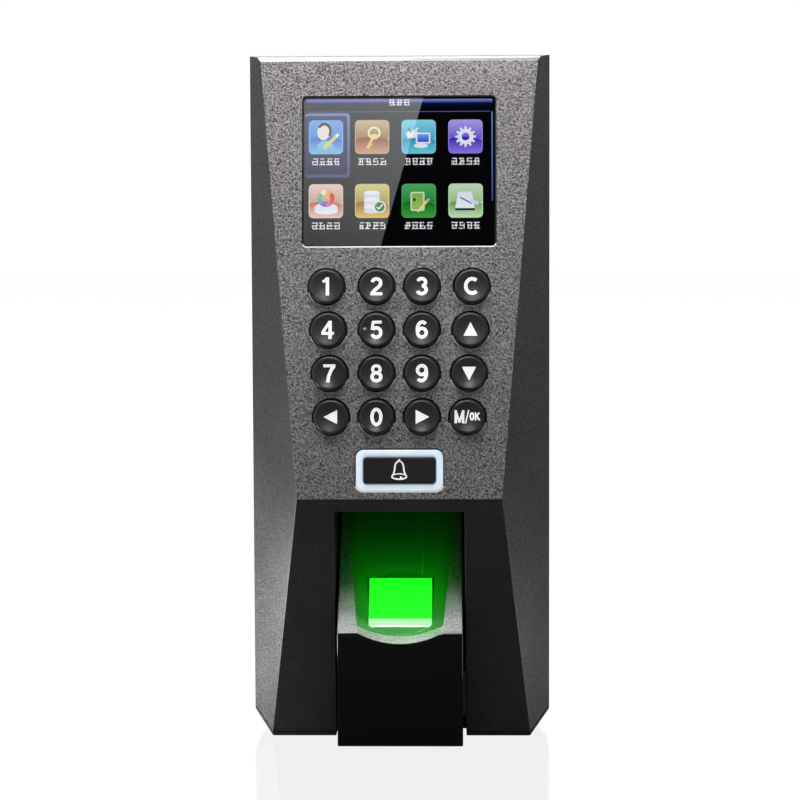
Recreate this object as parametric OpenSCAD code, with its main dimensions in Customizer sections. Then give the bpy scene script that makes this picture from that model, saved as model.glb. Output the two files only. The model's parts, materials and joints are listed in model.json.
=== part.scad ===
// Wall-mounted fingerprint access terminal: faceted housing, colour screen,
// sixteen-key pad, door bell button and an optical finger reader in a recess.
// Millimetres. +Z is up, -Y is the front, and the wall lies in the plane y = 0.
// The origin is the middle of the wall plate's back face.

/* [Body] */
// Width of the housing
body_w = 80.5; // [79:0.5:84]
// Height of the housing
body_h = 183; // [182:1:188]
// Depth from the wall to the ridge across the waist
body_d = 42; // [41:0.5:44]
// Depth of the straight-sided rear cover
rear_d = 20; // [19.5:0.5:21]
// Height of the waist ridge above the bottom
waist_h = 65.75; // [65:0.25:67]
// Width of the front face at the waist
waist_w = 54; // [53.5:0.5:56]
// Backward lean of the upper front panel, in degrees
panel_tilt = 8.2; // [8:0.1:8.4]
// Backward lean of the lower front, in degrees
lower_tilt = 11.3; // [11:0.1:11.6]
// Wall thickness of the two housings
wall = 2.2; // [2:0.1:2.4]
// Size of the cut corners at the bottom
corner_cut = 5.6; // [5:0.2:6]
// Height of the rear cover's lip under the front shell
lip_h = 1.1; // [0.9:0.1:1.3]

/* [Screen] */
// Width of the screen opening
screen_w = 51; // [50:0.5:52]
// Height of the screen opening
screen_h = 40; // [39:0.5:41]
// Screen centre, measured up the panel from the waist
screen_s = 86.9; // [86.5:0.1:87.5]

/* [Keypad] */
// Diameter of a key hole
key_hole_d = 9.7; // [9.5:0.1:10.3]
// Diameter of a key cap
key_d = 9.2; // [9:0.1:9.4]
// How far a key stands out of the panel
key_rise = 1.9; // [1.5:0.1:2.2]
// Distance between key rows
row_pitch = 11.5; // [11.4:0.1:11.8]
// Lowest key row, measured up the panel from the waist
row_s = 21.55; // [21.3:0.05:22]
// Distance between key columns in the lowest row
column_pitch = 11.95; // [11.7:0.05:12.2]
// How much further out the outer columns stand in each higher row
column_flare = 0.42; // [0.3:0.02:0.5]
// Key travel
key_travel = 1.0; // [0.8:0.1:1]

/* [Bell] */
// Bell key centre, measured up the panel from the waist
bell_s = 7.6; // [7.4:0.1:8]
// Width of the light ring around the bell key
ring_w = 22.6; // [22:0.2:23]
// Height of the light ring
ring_h = 10.6; // [10.2:0.2:11]
// Width of the ring's border
ring_border = 1.6; // [1.4:0.1:1.8]
// Bell key travel
bell_travel = 0.8; // [0.6:0.1:0.8]

/* [Finger reader] */
// Height of the recess roof above the bottom
recess_h = 62.4; // [62:0.1:63]
// Half width of the recess at its roof
recess_half = 17.1; // [17:0.1:17.3]
// Half width of the recess at the bottom
slot_half = 17.6; // [17.5:0.1:17.8]
// Width of the reader block
reader_w = 33.2; // [33:0.1:33.4]
// Height of the reader block's front edge above the bottom
reader_h = 30.2; // [30:0.05:31.5]
// Rise of the finger rest above the horizontal, in degrees
rest_rise = 49; // [48:0.5:50]
// Radius of the finger channel
channel_r = 33; // [32:0.5:35]
// Depth of the finger channel at the front edge
channel_depth = 1.95; // [1.8:0.05:2.1]
// Width of the sensor glass
glass_w = 16.8; // [16:0.2:17]
// Length of the sensor glass along the rest
glass_l = 12.8; // [12:0.1:13.5]

/* [Wall plate] */
// Thickness of the steel plate
plate_t = 1.5; // [1.2:0.1:1.5]
// Width of the plate
plate_w = 54; // [52:1:55]
// Distance between the wall screws across
wall_screw_x = 38; // [36:1:40]
// Distance between the wall screws up and down
wall_screw_z = 124; // [120:1:124]
// Diameter of a wall screw hole
wall_hole_d = 4.5; // [4:0.1:5]

/* [Hidden] */
// Key names, bottom row first and left to right
KEYS = [["left", "0", "right", "ok"], ["7", "8", "9", "down"],
        ["4", "5", "6", "up"], ["1", "2", "3", "clear"]];

$fn = 48;
gap = 0.1;                          // play between parts that meet
eps = 0.01;                         // overrun that makes a cut clean
part_y = -rear_d;                   // plane where the two housings meet
front_d = body_d - rear_d;          // depth of the front shell at the waist
bottom_z = -body_h / 2;
top_z = body_h / 2;
waist_z = bottom_z + waist_h;
shell_z = bottom_z + lip_h;         // bottom of the front shell
top_edge_z = top_z - 0.9;           // top of the front panel
roof_z = bottom_z + recess_h;
rest_z = bottom_z + reader_h;
back_wall = [-6, -4];               // y range of the rear cover's back wall
rim_y = -0.5;                       // rear edge of the rear cover's rim
far = 200;                          // longer than anything here

case_screw_at = [[-34, 62], [34, 62], [-33, -76], [33, -76]];
board_screw_at = [[-26, 77], [26, 77], [-26, -16], [26, -16]];
lcd_screw_at = [[-28, -24.3], [28, -24.3], [-28, 24.3], [28, 24.3]];
keypad_screw_at = [[0, row_s + 0.5 * row_pitch], [0, row_s + 2.5 * row_pitch],
                   [-12.3, row_s + 1.5 * row_pitch], [12.3, row_s + 1.5 * row_pitch]];
reader_screw_at = [[-10, -84], [10, -84]];
usb_at = [21.8, -13];
speaker_at = [-24, -12.8];
tamper_at = [0, -8];
buzzer_at = [-3.5, -9];
cable_x = 7;                        // where the reader cable runs
hook_x = [-9, 9];
hook_z = 64;
lock_y = -9;

// ---- helpers ----

// 2D x, y become X, Z, drawn from y0 to y1
module along_y(y0, y1)
    translate([0, y1, 0]) rotate([90, 0, 0]) linear_extrude(y1 - y0) children();

// 2D x, y become Y, Z, drawn across a width centred on x
module along_x(width, x = 0)
    translate([x - width / 2, 0, 0]) rotate([90, 0, 90]) linear_extrude(width) children();

// Local x across, y up the front panel from the waist, z out of the panel
module on_panel()
    translate([0, -body_d, waist_z]) rotate([90 - panel_tilt, 0, 0]) children();

// Local x across, y up the finger rest from its front edge, z out of the rest
module on_rest()
    translate([0, -body_d, rest_z]) rotate([rest_rise, 0, 0]) children();

// Rectangle with true round corners
module round_rect(w, h, r) {
    square([w - 2 * r, h], center = true);
    square([w, h - 2 * r], center = true);
    for (x = [-1, 1], y = [-1, 1]) translate([x * (w / 2 - r), y * (h / 2 - r)]) circle(r);
}

// Slab of a rounded rectangle from z0 to z1
module slab(w, h, r, z0, z1)
    translate([0, 0, z0]) linear_extrude(z1 - z0) round_rect(w, h, r);

// Disc or rod along z from z0 to z1
module rod(r, z0, z1) translate([0, 0, z0]) cylinder(h = z1 - z0, r = r);

// Rod along y from y0 to y1, at a point [x, z]
module rod_y(r, y0, y1, at)
    translate([at[0], y1, at[1]]) rotate([90, 0, 0]) cylinder(h = y1 - y0, r = r);

// Box from low corner to high corner
module box(lo, hi) translate(lo) cube(hi - lo);

// Normal of a line of points at point i
function turn(p, i) =
    let (a = p[max(i - 1, 0)], b = p[min(i + 1, len(p) - 1)], d = b - a) [-d[1], d[0]] / norm(d);

// Closed outline of a strip of thickness t that follows a line of points
function strip(p, t) =
    concat(p, [for (i = [len(p) - 1:-1:0]) p[i] + t * turn(p, i)]);

// ---- housing outline ----

// Outline drawn in by d; the points run counter-clockwise
function inward(a, b) = let (d = b - a) [-d[1], d[0]] / norm(d);
function inset(p, d) = [
    for (i = [0:len(p) - 1])
        let (n = len(p), m = inward(p[(i + n - 1) % n], p[i]), k = inward(p[i], p[(i + 1) % n]))
            p[i] + d * (m + k) / (1 + m * k)];

function upper_y(z) = -body_d + (z - waist_z) * tan(panel_tilt);
function lower_y(z) = -body_d + (waist_z - z) * tan(lower_tilt);

// Side view, from the front face to well behind the wall
side_outline = [[far, -far], [far, top_z], [part_y, top_z],
                [upper_y(top_edge_z), top_edge_z], [-body_d, waist_z], [lower_y(-far), -far]];

// Plan view, with the slanting facets
plan_outline = [[-body_w / 2, far], [-body_w / 2, part_y], [-waist_w / 2, -body_d],
                [waist_w / 2, -body_d], [body_w / 2, part_y], [body_w / 2, far]];

// Front view, with cut bottom corners that start at height z0
function front_outline(z0) = [
    [-body_w / 2, far], [-body_w / 2, z0 + corner_cut], [-body_w / 2 + corner_cut, z0],
    [body_w / 2 - corner_cut, z0], [body_w / 2, z0 + corner_cut], [body_w / 2, far]];

// The housing as a solid, drawn in by d, with its bottom at z0
module body_solid(d = 0, z0 = bottom_z)
    intersection() {
        along_x(far) polygon(inset(side_outline, d));
        translate([0, 0, -far / 2]) linear_extrude(far) polygon(inset(plan_outline, d));
        along_y(-far / 2, far / 2) polygon(inset(front_outline(z0), d));
    }

// Cut for the reader block, from the recess roof down through the bottom
module reader_slot(margin = 0)
    along_y(-body_d - 5, part_y)
        polygon([[-slot_half - margin, bottom_z - 5], [-recess_half - margin, roof_z + margin],
                 [recess_half + margin, roof_z + margin], [slot_half + margin, bottom_z - 5]]);

// x of key column c in row r, and the row's place up the panel
function key_x(r, c) =
    (c - 1.5) * column_pitch + (c == 0 ? -1 : c == 3 ? 1 : 0) * r * column_flare;
function key_s(r) = row_s + r * row_pitch;

module at_keys() for (r = [0:3], c = [0:3]) translate([key_x(r, c), key_s(r), 0]) children();

// ---- wall side ----

module wall_plate() color("silver") {
    hook_t = plate_t;
    difference() {
        along_y(-plate_t, 0) translate([0, -3.5]) round_rect(plate_w, 165, 4);
        for (x = [-1, 1], z = [-1, 1])
            rod_y(wall_hole_d / 2, -plate_t - eps, eps, [x * wall_screw_x / 2, z * wall_screw_z / 2]);
        along_y(-plate_t - eps, eps) translate([0, 35]) round_rect(38, 30, 3);
    }
    for (x = hook_x) {
        box([x - 3, back_wall[0] - 0.3 - hook_t, hook_z], [x + 3, -plate_t + eps, hook_z + hook_t]);
        box([x - 3, back_wall[0] - 0.3 - hook_t, hook_z], [x + 3, back_wall[0] - 0.3, hook_z + 5]);
    }
    difference() {
        box([-6, lock_y - 4, bottom_z + 5.5], [6, -plate_t + eps, bottom_z + 7]);
        translate([0, lock_y, 0]) rod(1.5, bottom_z + 5, bottom_z + 8);
    }
}

module rear_cover() color("dimgray") {
    difference() {
        union() {
            difference() {
                intersection() {
                    body_solid();
                    box([-far, part_y + gap, -far], [far, rim_y, far]);
                }
                intersection() {
                    body_solid(wall);
                    union() {
                        box([-far, part_y - 1, -far], [far, back_wall[0], far]);
                        box([-far, back_wall[1], -far], [far, 1, far]);
                    }
                }
            }
            rear_lip();
            for (p = case_screw_at) rod_y(3.4, part_y + gap, back_wall[0] + eps, p);
            for (p = board_screw_at) rod_y(3, -12, back_wall[0] + eps, p);
            for (p = reader_screw_at) rod_y(3, part_y - 0.5, back_wall[0] + eps, p);
            translate([0, lock_y, 0]) rod(4.5, bottom_z + 0.5, bottom_z + 4);
        }
        for (p = case_screw_at) {
            rod_y(1.6, part_y - 1, back_wall[1] + 1, p);
            rod_y(2.9, back_wall[0] - 3, back_wall[1] + 1, p);
        }
        for (p = board_screw_at) rod_y(1.15, -12 - eps, back_wall[0] + 1, p);
        for (p = reader_screw_at) {
            rod_y(1.3, part_y - 1, back_wall[1] + 1, p);
            rod_y(2.6, back_wall[0] - 2, back_wall[1] + 1, p);
        }
        // wiring bay, hook slots, tab slot and tamper hole
        along_y(back_wall[0] - 1, back_wall[1] + 1) translate([0, 35]) round_rect(50, 38, 3);
        for (x = hook_x) box([x - 3.5, back_wall[0] - 1, hook_z - 4.5],
                             [x + 3.5, back_wall[1] + 1, hook_z + plate_t + gap]);
        box([-7, back_wall[0] - 1, bottom_z + wall], [7, back_wall[1] + 1, bottom_z + 9]);
        rod_y(2.2, back_wall[0] - 1, back_wall[1] + 1, tamper_at);
        // bottom: lock screw, USB and speaker holes
        translate([0, lock_y, 0]) {
            rod(1.7, bottom_z - 1, bottom_z + 5);
            rod(3.2, bottom_z - 1, bottom_z + 1.6);
        }
        translate([usb_at[0], usb_at[1], bottom_z]) {
            slab(13.6, 6.3, 0.5, -1, wall + 1);
            slab(16.4, 9, 1.5, -1, 1);
            box([-3.3, -5.5, -1], [3.3, 0, 1]);
        }
        for (a = [0:60:300]) translate([speaker_at[0], speaker_at[1], 0]) rotate(a)
            translate([3.4, 0, 0]) rod(0.75, bottom_z - 1, bottom_z + wall + 1);
        translate([speaker_at[0], speaker_at[1], 0]) rod(0.75, bottom_z - 1, bottom_z + wall + 1);
    }
}

// The strip of the rear cover that runs forward under the front shell
module rear_lip() {
    inner_z = shell_z - gap;
    end_z = bottom_z + corner_cut + lip_h / 2;
    end_x = body_w / 2 - (inner_z + corner_cut - end_z);
    flat_x = body_w / 2 - corner_cut;
    difference() {
        intersection() {
            body_solid();
            along_y(-far, part_y + gap + eps) polygon([
                [-body_w, end_z], [-body_w, bottom_z - 5], [body_w, bottom_z - 5], [body_w, end_z],
                [end_x, end_z], [flat_x, inner_z], [-flat_x, inner_z], [-end_x, end_z]]);
        }
        reader_slot();
    }
}

// ---- front shell ----

module front_shell() color([0.36, 0.35, 0.34]) {
    boss_y = -body_d + 3;
    difference() {
        union() {
            difference() {
                intersection() {
                    body_solid(0, shell_z);
                    box([-far, -far, -far], [far, part_y, far]);
                }
                body_solid(wall, shell_z);
            }
            intersection() {
                body_solid(1, shell_z);
                union() {
                    reader_slot(1.6);
                    for (p = case_screw_at) rod_y(3.4, boss_y, part_y, p);
                    on_panel() {
                        for (p = lcd_screw_at) translate([p[0], p[1] + screen_s, 0]) rod(2.3, -5, -1);
                        for (p = keypad_screw_at) translate(p) rod(2.2, -6.1, -1);
                    }
                }
            }
        }
        translate([0, upper_y(top_edge_z), top_edge_z]) rotate([-45, 0, 0])
            cube([far, 1.2, 6], center = true);
        for (p = case_screw_at) rod_y(1.45, part_y - 5.6, part_y + 1, p);
        reader_slot();
        on_panel() {
            translate([0, screen_s, 0]) {
                slab(screen_w, screen_h, 1, -wall - 1, 1);
                slab(screen_w + 3.4, screen_h + 3.4, 1, -wall - 1, -0.8);
            }
            at_keys() rod(key_hole_d / 2, -wall - 1, 1);
            translate([0, bell_s, 0]) slab(ring_w + 0.4, ring_h + 0.4, 2, -wall - 1, 1);
            for (p = lcd_screw_at) translate([p[0], p[1] + screen_s, 0]) rod(0.9, -5 - eps, -1.4);
            for (p = keypad_screw_at) translate(p) rod(0.9, -6.1 - eps, -1.4);
        }
    }
}

// ---- screen ----

module screen_window() color([0.1, 0.1, 0.12, 0.5])
    on_panel() translate([0, screen_s, 0]) slab(screen_w + 3, screen_h + 3, 0.9, -2, -0.8);

module window_tape() color("black")
    on_panel() translate([0, screen_s, 0]) difference() {
        slab(screen_w + 3, screen_h + 2, 0.9, -2.3, -2);
        slab(screen_w - 0.4, screen_h - 0.4, 0.9, -3, -1);
    }

module lcd_panel() color([0.05, 0.05, 0.07])
    on_panel() translate([0, screen_s, 0]) slab(60.3, 42.7, 0.8, -4.9, -2.32);

module lcd_holder() color([0.15, 0.15, 0.15])
    on_panel() translate([0, screen_s, 0]) difference() {
        union() {
            slab(61, 43, 1, -6.4, -5);
            for (p = lcd_screw_at) translate(p) rod(3, -6.4, -5);
            for (p = lcd_screw_at) box([p[0] - 3, min(p[1], sign(p[1]) * 20), -6.4],
                                       [p[0] + 3, max(p[1], sign(p[1]) * 20), -5]);
        }
        slab(46, 28, 2, -7, -4);
        for (p = lcd_screw_at) translate(p) rod(1.2, -7, -4);
    }

module lcd_screws() color("silver")
    on_panel() for (p = lcd_screw_at) translate([p[0], p[1] + screen_s, 0]) small_screw(-6.4, 0.85, 4.6);

// Pan-head screw pointing out of the panel, its head under a face at height z
module small_screw(z, r, length) {
    rod(r, z - eps, z + length);
    difference() {
        rod(2.2 * r + 0.1, z - 1.3, z);
        for (a = [0, 90]) rotate(a) box([-r, -0.25, z - 2], [r, 0.25, z - 0.6]);
    }
}

// ---- keypad ----

// One key: cap with a chamfered rim, retaining flange and stem
module key_cap() {
    rim = 0.5;
    rod(key_d / 2, -wall - gap - eps, key_rise - rim);
    translate([0, 0, key_rise - rim]) cylinder(h = rim, r1 = key_d / 2, r2 = key_d / 2 - rim);
    rod(5.55, -wall - 0.9, -wall - gap);
    rod(2, -3.9, -wall - 0.9 + eps);
}

module key(r, c) color([0.1, 0.1, 0.11])
    on_panel() translate([key_x(r, c), key_s(r), 0]) key_cap();

module bell_key() color([0.08, 0.08, 0.09])
    on_panel() translate([0, bell_s, 0]) {
        slab(ring_w - 2 * ring_border - 0.4, ring_h - 2 * ring_border - 0.4, 1, -3.8, 0.9);
        slab(21, 9, 1, -4.6, -3.8 + eps);
    }

module bell_light_ring() color([0.85, 0.92, 0.98])
    on_panel() translate([0, bell_s, 0]) difference() {
        union() {
            slab(ring_w, ring_h, 1.9, -2.5, 0.15);
            slab(ring_w + 2.4, ring_h + 2.4, 1.9, -3.6, -wall - gap);
        }
        slab(ring_w - 2 * ring_border, ring_h - 2 * ring_border, 1.1, -5, 1);
    }

// Outline shared by the silicone mat and the keypad board
keypad_outline = [[-24, 1.5], [24, 1.5], [24.9, 16], [24.9, 61.4], [-24.9, 61.4], [-24.9, 16]];

module keypad_membrane() color([0.75, 0.75, 0.72])
    on_panel() difference() {
        union() {
            translate([0, 0, -6]) linear_extrude(1) polygon(inset(keypad_outline, 0.5));
            at_keys() rod(4.4, -5 - eps, -4.3);
        }
        at_keys() rod(2.7, -5, -3);
        for (p = keypad_screw_at) translate(p) rod(2.6, -7, -3);
        translate([0, bell_s, 0]) slab(23, 11, 1, -7, -3);
    }

module keypad_board() color("darkgreen")
    on_panel() {
        difference() {
            translate([0, 0, -7.6]) linear_extrude(1.5 - gap) polygon(keypad_outline);
            for (p = keypad_screw_at) translate(p) rod(1.2, -9, -5);
        }
        translate([0, bell_s, 0]) slab(6, 6, 0.4, -6.2 - eps, -5.5);
        box([-6, 54, -9.2], [6, 60, -7.6 + eps]);
    }

module keypad_screws() color("silver")
    on_panel() for (p = keypad_screw_at) translate(p) small_screw(-7.6, 0.85, 5);

// ---- finger reader ----

// Side view of the sensor prism: flat front, face along the rest
glass_top = -0.8;                   // glass face, measured out of the rest
glass_front_y = -body_d + 3.9;
pocket_depth = 2.2;                 // floor in front of the glass, measured into the rest
pocket_reach = 2.65;                // how far that floor bulges towards the front
tip_depth = 3.2;                    // floor of the fingertip hollow behind the glass
tip_r = 7.5;
tip_reach = 3.1;                    // how far the hollow runs on behind the glass
function rest_point(t, n) =
    [-body_d + t * cos(rest_rise) - n * sin(rest_rise), rest_z + t * sin(rest_rise) + n * cos(rest_rise)];
glass_start = (glass_front_y + body_d + glass_top * sin(rest_rise)) / cos(rest_rise);
glass_outline = [[glass_front_y, rest_z - 0.9], rest_point(glass_start + 0.8, -7),
                 rest_point(glass_start + glass_l, -7),
                 rest_point(glass_start + glass_l, glass_top), rest_point(glass_start, glass_top)];

// Hollows that meet the glass: one in front of it with a curved edge, one for the fingertip behind it
module reader_hollows() {
    w = glass_w + 5 * gap;
    chord_y = (glass_front_y + body_d - pocket_depth * sin(rest_rise)) / cos(rest_rise);
    bow_r = (pow(w / 2, 2) + pow(pocket_reach, 2)) / (2 * pocket_reach);
    on_rest() intersection() {
        translate([0, chord_y - pocket_reach + bow_r, -pocket_depth]) cylinder(h = 4, r = bow_r, $fn = 96);
        translate([-w / 2, chord_y - pocket_reach - 1, -pocket_depth - 1]) cube([w, pocket_reach + 3, 6]);
    }
    on_rest() translate([0, glass_start + glass_l + tip_reach - tip_r, -tip_depth])
        cylinder(h = 5, r = tip_r);
}

module reader_housing() color([0.06, 0.06, 0.06])
    difference() {
        along_x(reader_w) polygon([
            [-body_d, bottom_z], [-body_d, rest_z],
            [-body_d + (roof_z - 0.2 - rest_z) / tan(rest_rise), roof_z - 0.2],
            [-12, roof_z - 0.2], [-12, roof_z - 7],
            [part_y - 0.6, roof_z - 15], [part_y - 0.6, bottom_z]]);
        // finger channel, a little deeper and wider towards the top
        on_rest() translate([0, 0, channel_r - channel_depth]) rotate([-90 - 2, 0, 0])
            translate([0, 0, -20]) cylinder(h = 90, r = channel_r, $fn = 96);
        along_x(glass_w + gap) polygon(inset(glass_outline, -gap / 2));
        reader_hollows();
        // chamber for the optics, open at the back
        along_x(reader_w - 4) polygon([
            [-body_d + 2, bottom_z + 2], [-body_d + 2, rest_z - 7], [-24, rest_z + 11.1],
            [part_y, rest_z + 11.1], [part_y, bottom_z + 2]]);
    }

module sensor_glass() color([0.2, 1, 0.2, 0.6]) along_x(glass_w) polygon(glass_outline);

module sensor_light_board() color("darkgreen")
    on_rest() translate([0, 9.4, 0]) {
        difference() {
            slab(20, 13, 0.5, -9, -8);
            translate([0, -1.6, 0]) slab(8.4, 8, 0.5, -10, -7);
        }
        for (x = [-1, 1], y = [-1, 1])
            translate([x * 7.2, y * 4.6, 0]) slab(2, 1.4, 0.2, -8 - eps, -7.3);
    }

module sensor_camera() color([0.12, 0.12, 0.12])
    on_rest() translate([0, 7.2, 0]) {
        slab(16, 10, 0.5, -15.2, -14.2);
        rod(4.2, -14.2 - eps, -12);
        rod(3.2, -12 - eps, -9.6);
    }

module reader_base() color([0.1, 0.1, 0.1])
    difference() {
        box([-reader_w / 2 + 2.2, part_y - 2.4, bottom_z + 2.2],
            [reader_w / 2 - 2.2, part_y - 0.6, rest_z + 10.9]);
        for (p = reader_screw_at) rod_y(1.1, part_y - 3, part_y, p);
        along_y(part_y - 3, part_y) translate([cable_x, rest_z - 6]) round_rect(12, 4, 1);
    }

module reader_screws() color("silver")
    for (p = reader_screw_at) back_screw(p, back_wall[0] - 2, 1.05, -part_y - 5.8, 2.3);

// Pan-head screw driven from the back, its head against a seat at y0
module back_screw(at, y0, r, length, head_r)
    translate([at[0], y0, at[1]]) rotate([90, 0, 0]) {
        rod(r, -eps, length);
        difference() {
            rod(head_r, -1.6, 0);
            for (a = [0, 90]) rotate(a) box([-head_r * 0.6, -0.3, -2], [head_r * 0.6, 0.3, -0.8]);
        }
    }

module reader_cable() color("black")
    along_x(9, cable_x) polygon(strip([[-24.2, -65.3], [-23.4, -66.7], [-20, -67.4], [-18, -65],
        [-17.4, -52], [-12, -43], [-10.4, -36], [-10.4, -25], [-11.4, -22], [-11.4, -14]], 0.6));

// ---- main board and what is on it ----

module main_board() color("darkgreen")
    difference() {
        along_y(-13.6, -12) translate([0, 31]) round_rect(59, 106, 2);
        for (p = board_screw_at) rod_y(1.3, -14, -11, p);
    }

module board_screws() color("silver")
    for (p = board_screw_at) translate([p[0], -13.6, p[1]]) rotate([-90, 0, 0]) small_screw(0, 1.1, 6);

module processor_chips() color([0.12, 0.12, 0.13]) {
    box([-20, -15.2, 10], [-4, -13.6, 26]);
    box([2, -14.9, 12], [14, -13.6, 22]);
    box([2, -14.9, 28], [10, -13.6, 40]);
    box([-18, -14.7, 34], [-8, -13.6, 40]);
    for (x = [-20, -12, -4]) box([x, -14.4, 48], [x + 5, -13.6, 52]);
}

module lock_relay() color([0.1, 0.25, 0.6]) box([-26, -28.6, -12], [-10.5, -13.6, 0]);

module backup_battery() color("silver") {
    rod_y(6.2, -17.4, -14.4, [18, 0]);
    difference() {
        rod_y(7.2, -16.4, -13.6, [18, 0]);
        rod_y(6.3, -17, -14.4 + eps, [18, 0]);
    }
}

module buzzer() color("black")
    difference() {
        rod_y(6, -22.2, -13.6, buzzer_at);
        rod_y(1, -23, -19, buzzer_at);
    }

// Wafer connector: open shroud with a row of pins, facing the wall
module wafer(x, pins) {
    pitch = 2.5;
    w = pins * pitch + 1.6;
    difference() {
        box([x - w / 2, -12, 20], [x + w / 2, -5, 25.8]);
        box([x - w / 2 + 0.8, -10.5, 21], [x + w / 2 - 0.8, -4, 24.8]);
    }
    for (i = [0:pins - 1]) translate([x + (i - (pins - 1) / 2) * pitch, 0, 22.9])
        box([-0.32, -10.5 - eps, -0.32], [0.32, -5.6, 0.32]);
}

module wiring_connectors() color("ivory") {
    wafer(-15.5, 4);
    wafer(-2.2, 4);
    wafer(13.2, 6);
}

module speaker() color([0.15, 0.15, 0.15])
    translate([speaker_at[0], speaker_at[1], bottom_z + wall]) {
        rod(5.8, 0.05, 2.6);
        rod(4, 2.6 - eps, 3.6);
    }

module usb_port() color("silver")
    translate([usb_at[0], usb_at[1], bottom_z]) {
        difference() {
            slab(13.1, 5.7, 0.4, 1.05, 15);
            slab(12.3, 4.9, 0.3, 0, 14.4);
        }
        box([-5.5, 0.2, 3], [5.5, 2, 14.4 + eps]);
    }

module usb_cover() color([0.08, 0.08, 0.08])
    translate([usb_at[0], usb_at[1], bottom_z]) {
        slab(16, 8.6, 1.4, 0, 0.9);
        box([-5.4, -2, 0.9 - eps], [5.4, -0.1, 5.5]);
        box([-3, -5.2, 0], [3, -4.2, 0.9]);
    }

module tamper_switch() color([0.1, 0.1, 0.1])
    difference() {
        along_y(-12, -8) translate(tamper_at) round_rect(6.4, 6.4, 0.5);
        rod_y(1.6, -10.4, -7, tamper_at);
    }

module tamper_plunger() color("ivory") {
    rod_y(1.5, -8.7, -1.55, tamper_at);
}

module case_screws() color("silver")
    for (p = case_screw_at) back_screw(p, back_wall[0] - 3, 1.4, -part_y - 9 + 5, 2.6);

module lock_screw() color("silver")
    translate([0, lock_y, bottom_z]) {
        rod(1.45, 1.5 - eps, 8.5);
        difference() {
            rod(2.9, 0.25, 1.55);
            translate([0, 0, -1]) cylinder(h = 2.1, r = 1.3, $fn = 6);
        }
    }

module lcd_ribbon() color([0.8, 0.5, 0.2])
    along_x(16) polygon(strip([[-25.95, 49.3], [-25, 50.4], [-21, 51.4], [-18, 53], [-16, 57],
        [-14.9, 58.8]], 0.3));

module keypad_ribbon() color([0.85, 0.85, 0.85])
    along_x(11) polygon(strip([[-24.5, 28.5], [-23.8, 31], [-21.5, 32], [-18.6, 34], [-16.6, 41],
        [-14.9, 43]], 0.3));

// Low sockets on the main board that the two ribbons plug into
module ribbon_sockets() color("ivory") {
    box([-9, -15.2, 59], [9, -13.6, 63]);
    box([-6.5, -15.2, 43.2], [6.5, -13.6, 47]);
}

// ---- assembly ----

wall_plate();
rear_cover();
front_shell();
screen_window();
window_tape();
lcd_panel();
lcd_holder();
lcd_screws();
for (r = [0:3], c = [0:3])
    key(r, c);
bell_key();
bell_light_ring();
keypad_membrane();
keypad_board();
keypad_screws();
reader_housing();
sensor_glass();
sensor_light_board();
sensor_camera();
reader_base();
reader_screws();
main_board();
board_screws();
processor_chips();
lock_relay();
backup_battery();
buzzer();
wiring_connectors();
speaker();
usb_port();
usb_cover();
tamper_switch();
tamper_plunger();
case_screws();
lock_screw();
lcd_ribbon();
keypad_ribbon();
reader_cable();
ribbon_sockets();
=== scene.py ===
"""Looks for the fingerprint access terminal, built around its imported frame."""

import json
import math
import random

import bmesh
import bpy
from mathutils import Matrix, Vector


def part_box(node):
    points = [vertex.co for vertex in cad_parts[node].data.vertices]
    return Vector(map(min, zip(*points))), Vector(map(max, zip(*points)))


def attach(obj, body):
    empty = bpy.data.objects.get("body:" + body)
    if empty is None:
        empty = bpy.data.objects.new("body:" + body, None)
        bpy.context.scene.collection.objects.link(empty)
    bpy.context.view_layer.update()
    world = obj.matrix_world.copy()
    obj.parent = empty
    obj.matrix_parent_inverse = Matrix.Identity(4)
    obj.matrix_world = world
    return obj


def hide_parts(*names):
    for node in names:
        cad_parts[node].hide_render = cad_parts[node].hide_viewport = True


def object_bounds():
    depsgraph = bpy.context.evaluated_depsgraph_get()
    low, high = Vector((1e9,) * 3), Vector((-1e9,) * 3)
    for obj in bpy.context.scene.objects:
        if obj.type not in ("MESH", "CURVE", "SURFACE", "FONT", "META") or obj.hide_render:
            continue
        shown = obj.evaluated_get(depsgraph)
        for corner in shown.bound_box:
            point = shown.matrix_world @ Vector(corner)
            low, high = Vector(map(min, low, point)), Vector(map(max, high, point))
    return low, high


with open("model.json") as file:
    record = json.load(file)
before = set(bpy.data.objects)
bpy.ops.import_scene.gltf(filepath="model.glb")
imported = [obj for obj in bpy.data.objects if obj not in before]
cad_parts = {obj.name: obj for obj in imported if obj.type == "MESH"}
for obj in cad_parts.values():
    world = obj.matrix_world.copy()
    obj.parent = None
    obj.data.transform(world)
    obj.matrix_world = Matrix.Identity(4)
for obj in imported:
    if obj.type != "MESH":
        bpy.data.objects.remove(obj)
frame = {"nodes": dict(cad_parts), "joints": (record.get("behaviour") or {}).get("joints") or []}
cad_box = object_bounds()

MM = 0.001
random.seed(7)

# ---------------------------------------------------------------- places

# The panel's own axes: across, up the panel and out of it, from the middle of the screen.
OUT = -Vector(next(j["axis"] for j in frame["joints"] if j["name"] == "key_5_press")).normalized()
UP = Vector((0, OUT.z, -OUT.y))
WINDOW_MIDDLE = 1.4 * MM     # how deep the middle of the window lies
KEY_WIDEST = 2.7 * MM        # how deep the middle of a key's flange lies
RING_WIDEST = 2.95 * MM      # how deep the middle of the light ring's flange lies
REST_RISE = math.radians(49)  # how steeply the finger rest climbs
WELD_DISTANCE = 2e-6         # m, closer corners of a CAD mesh are one
SMOOTH_BELOW = 35            # degrees, the CAD skins shade smoothly over smaller angles


def middle(node):
    low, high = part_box(node)
    return (Vector(low) + Vector(high)) / 2


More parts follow.
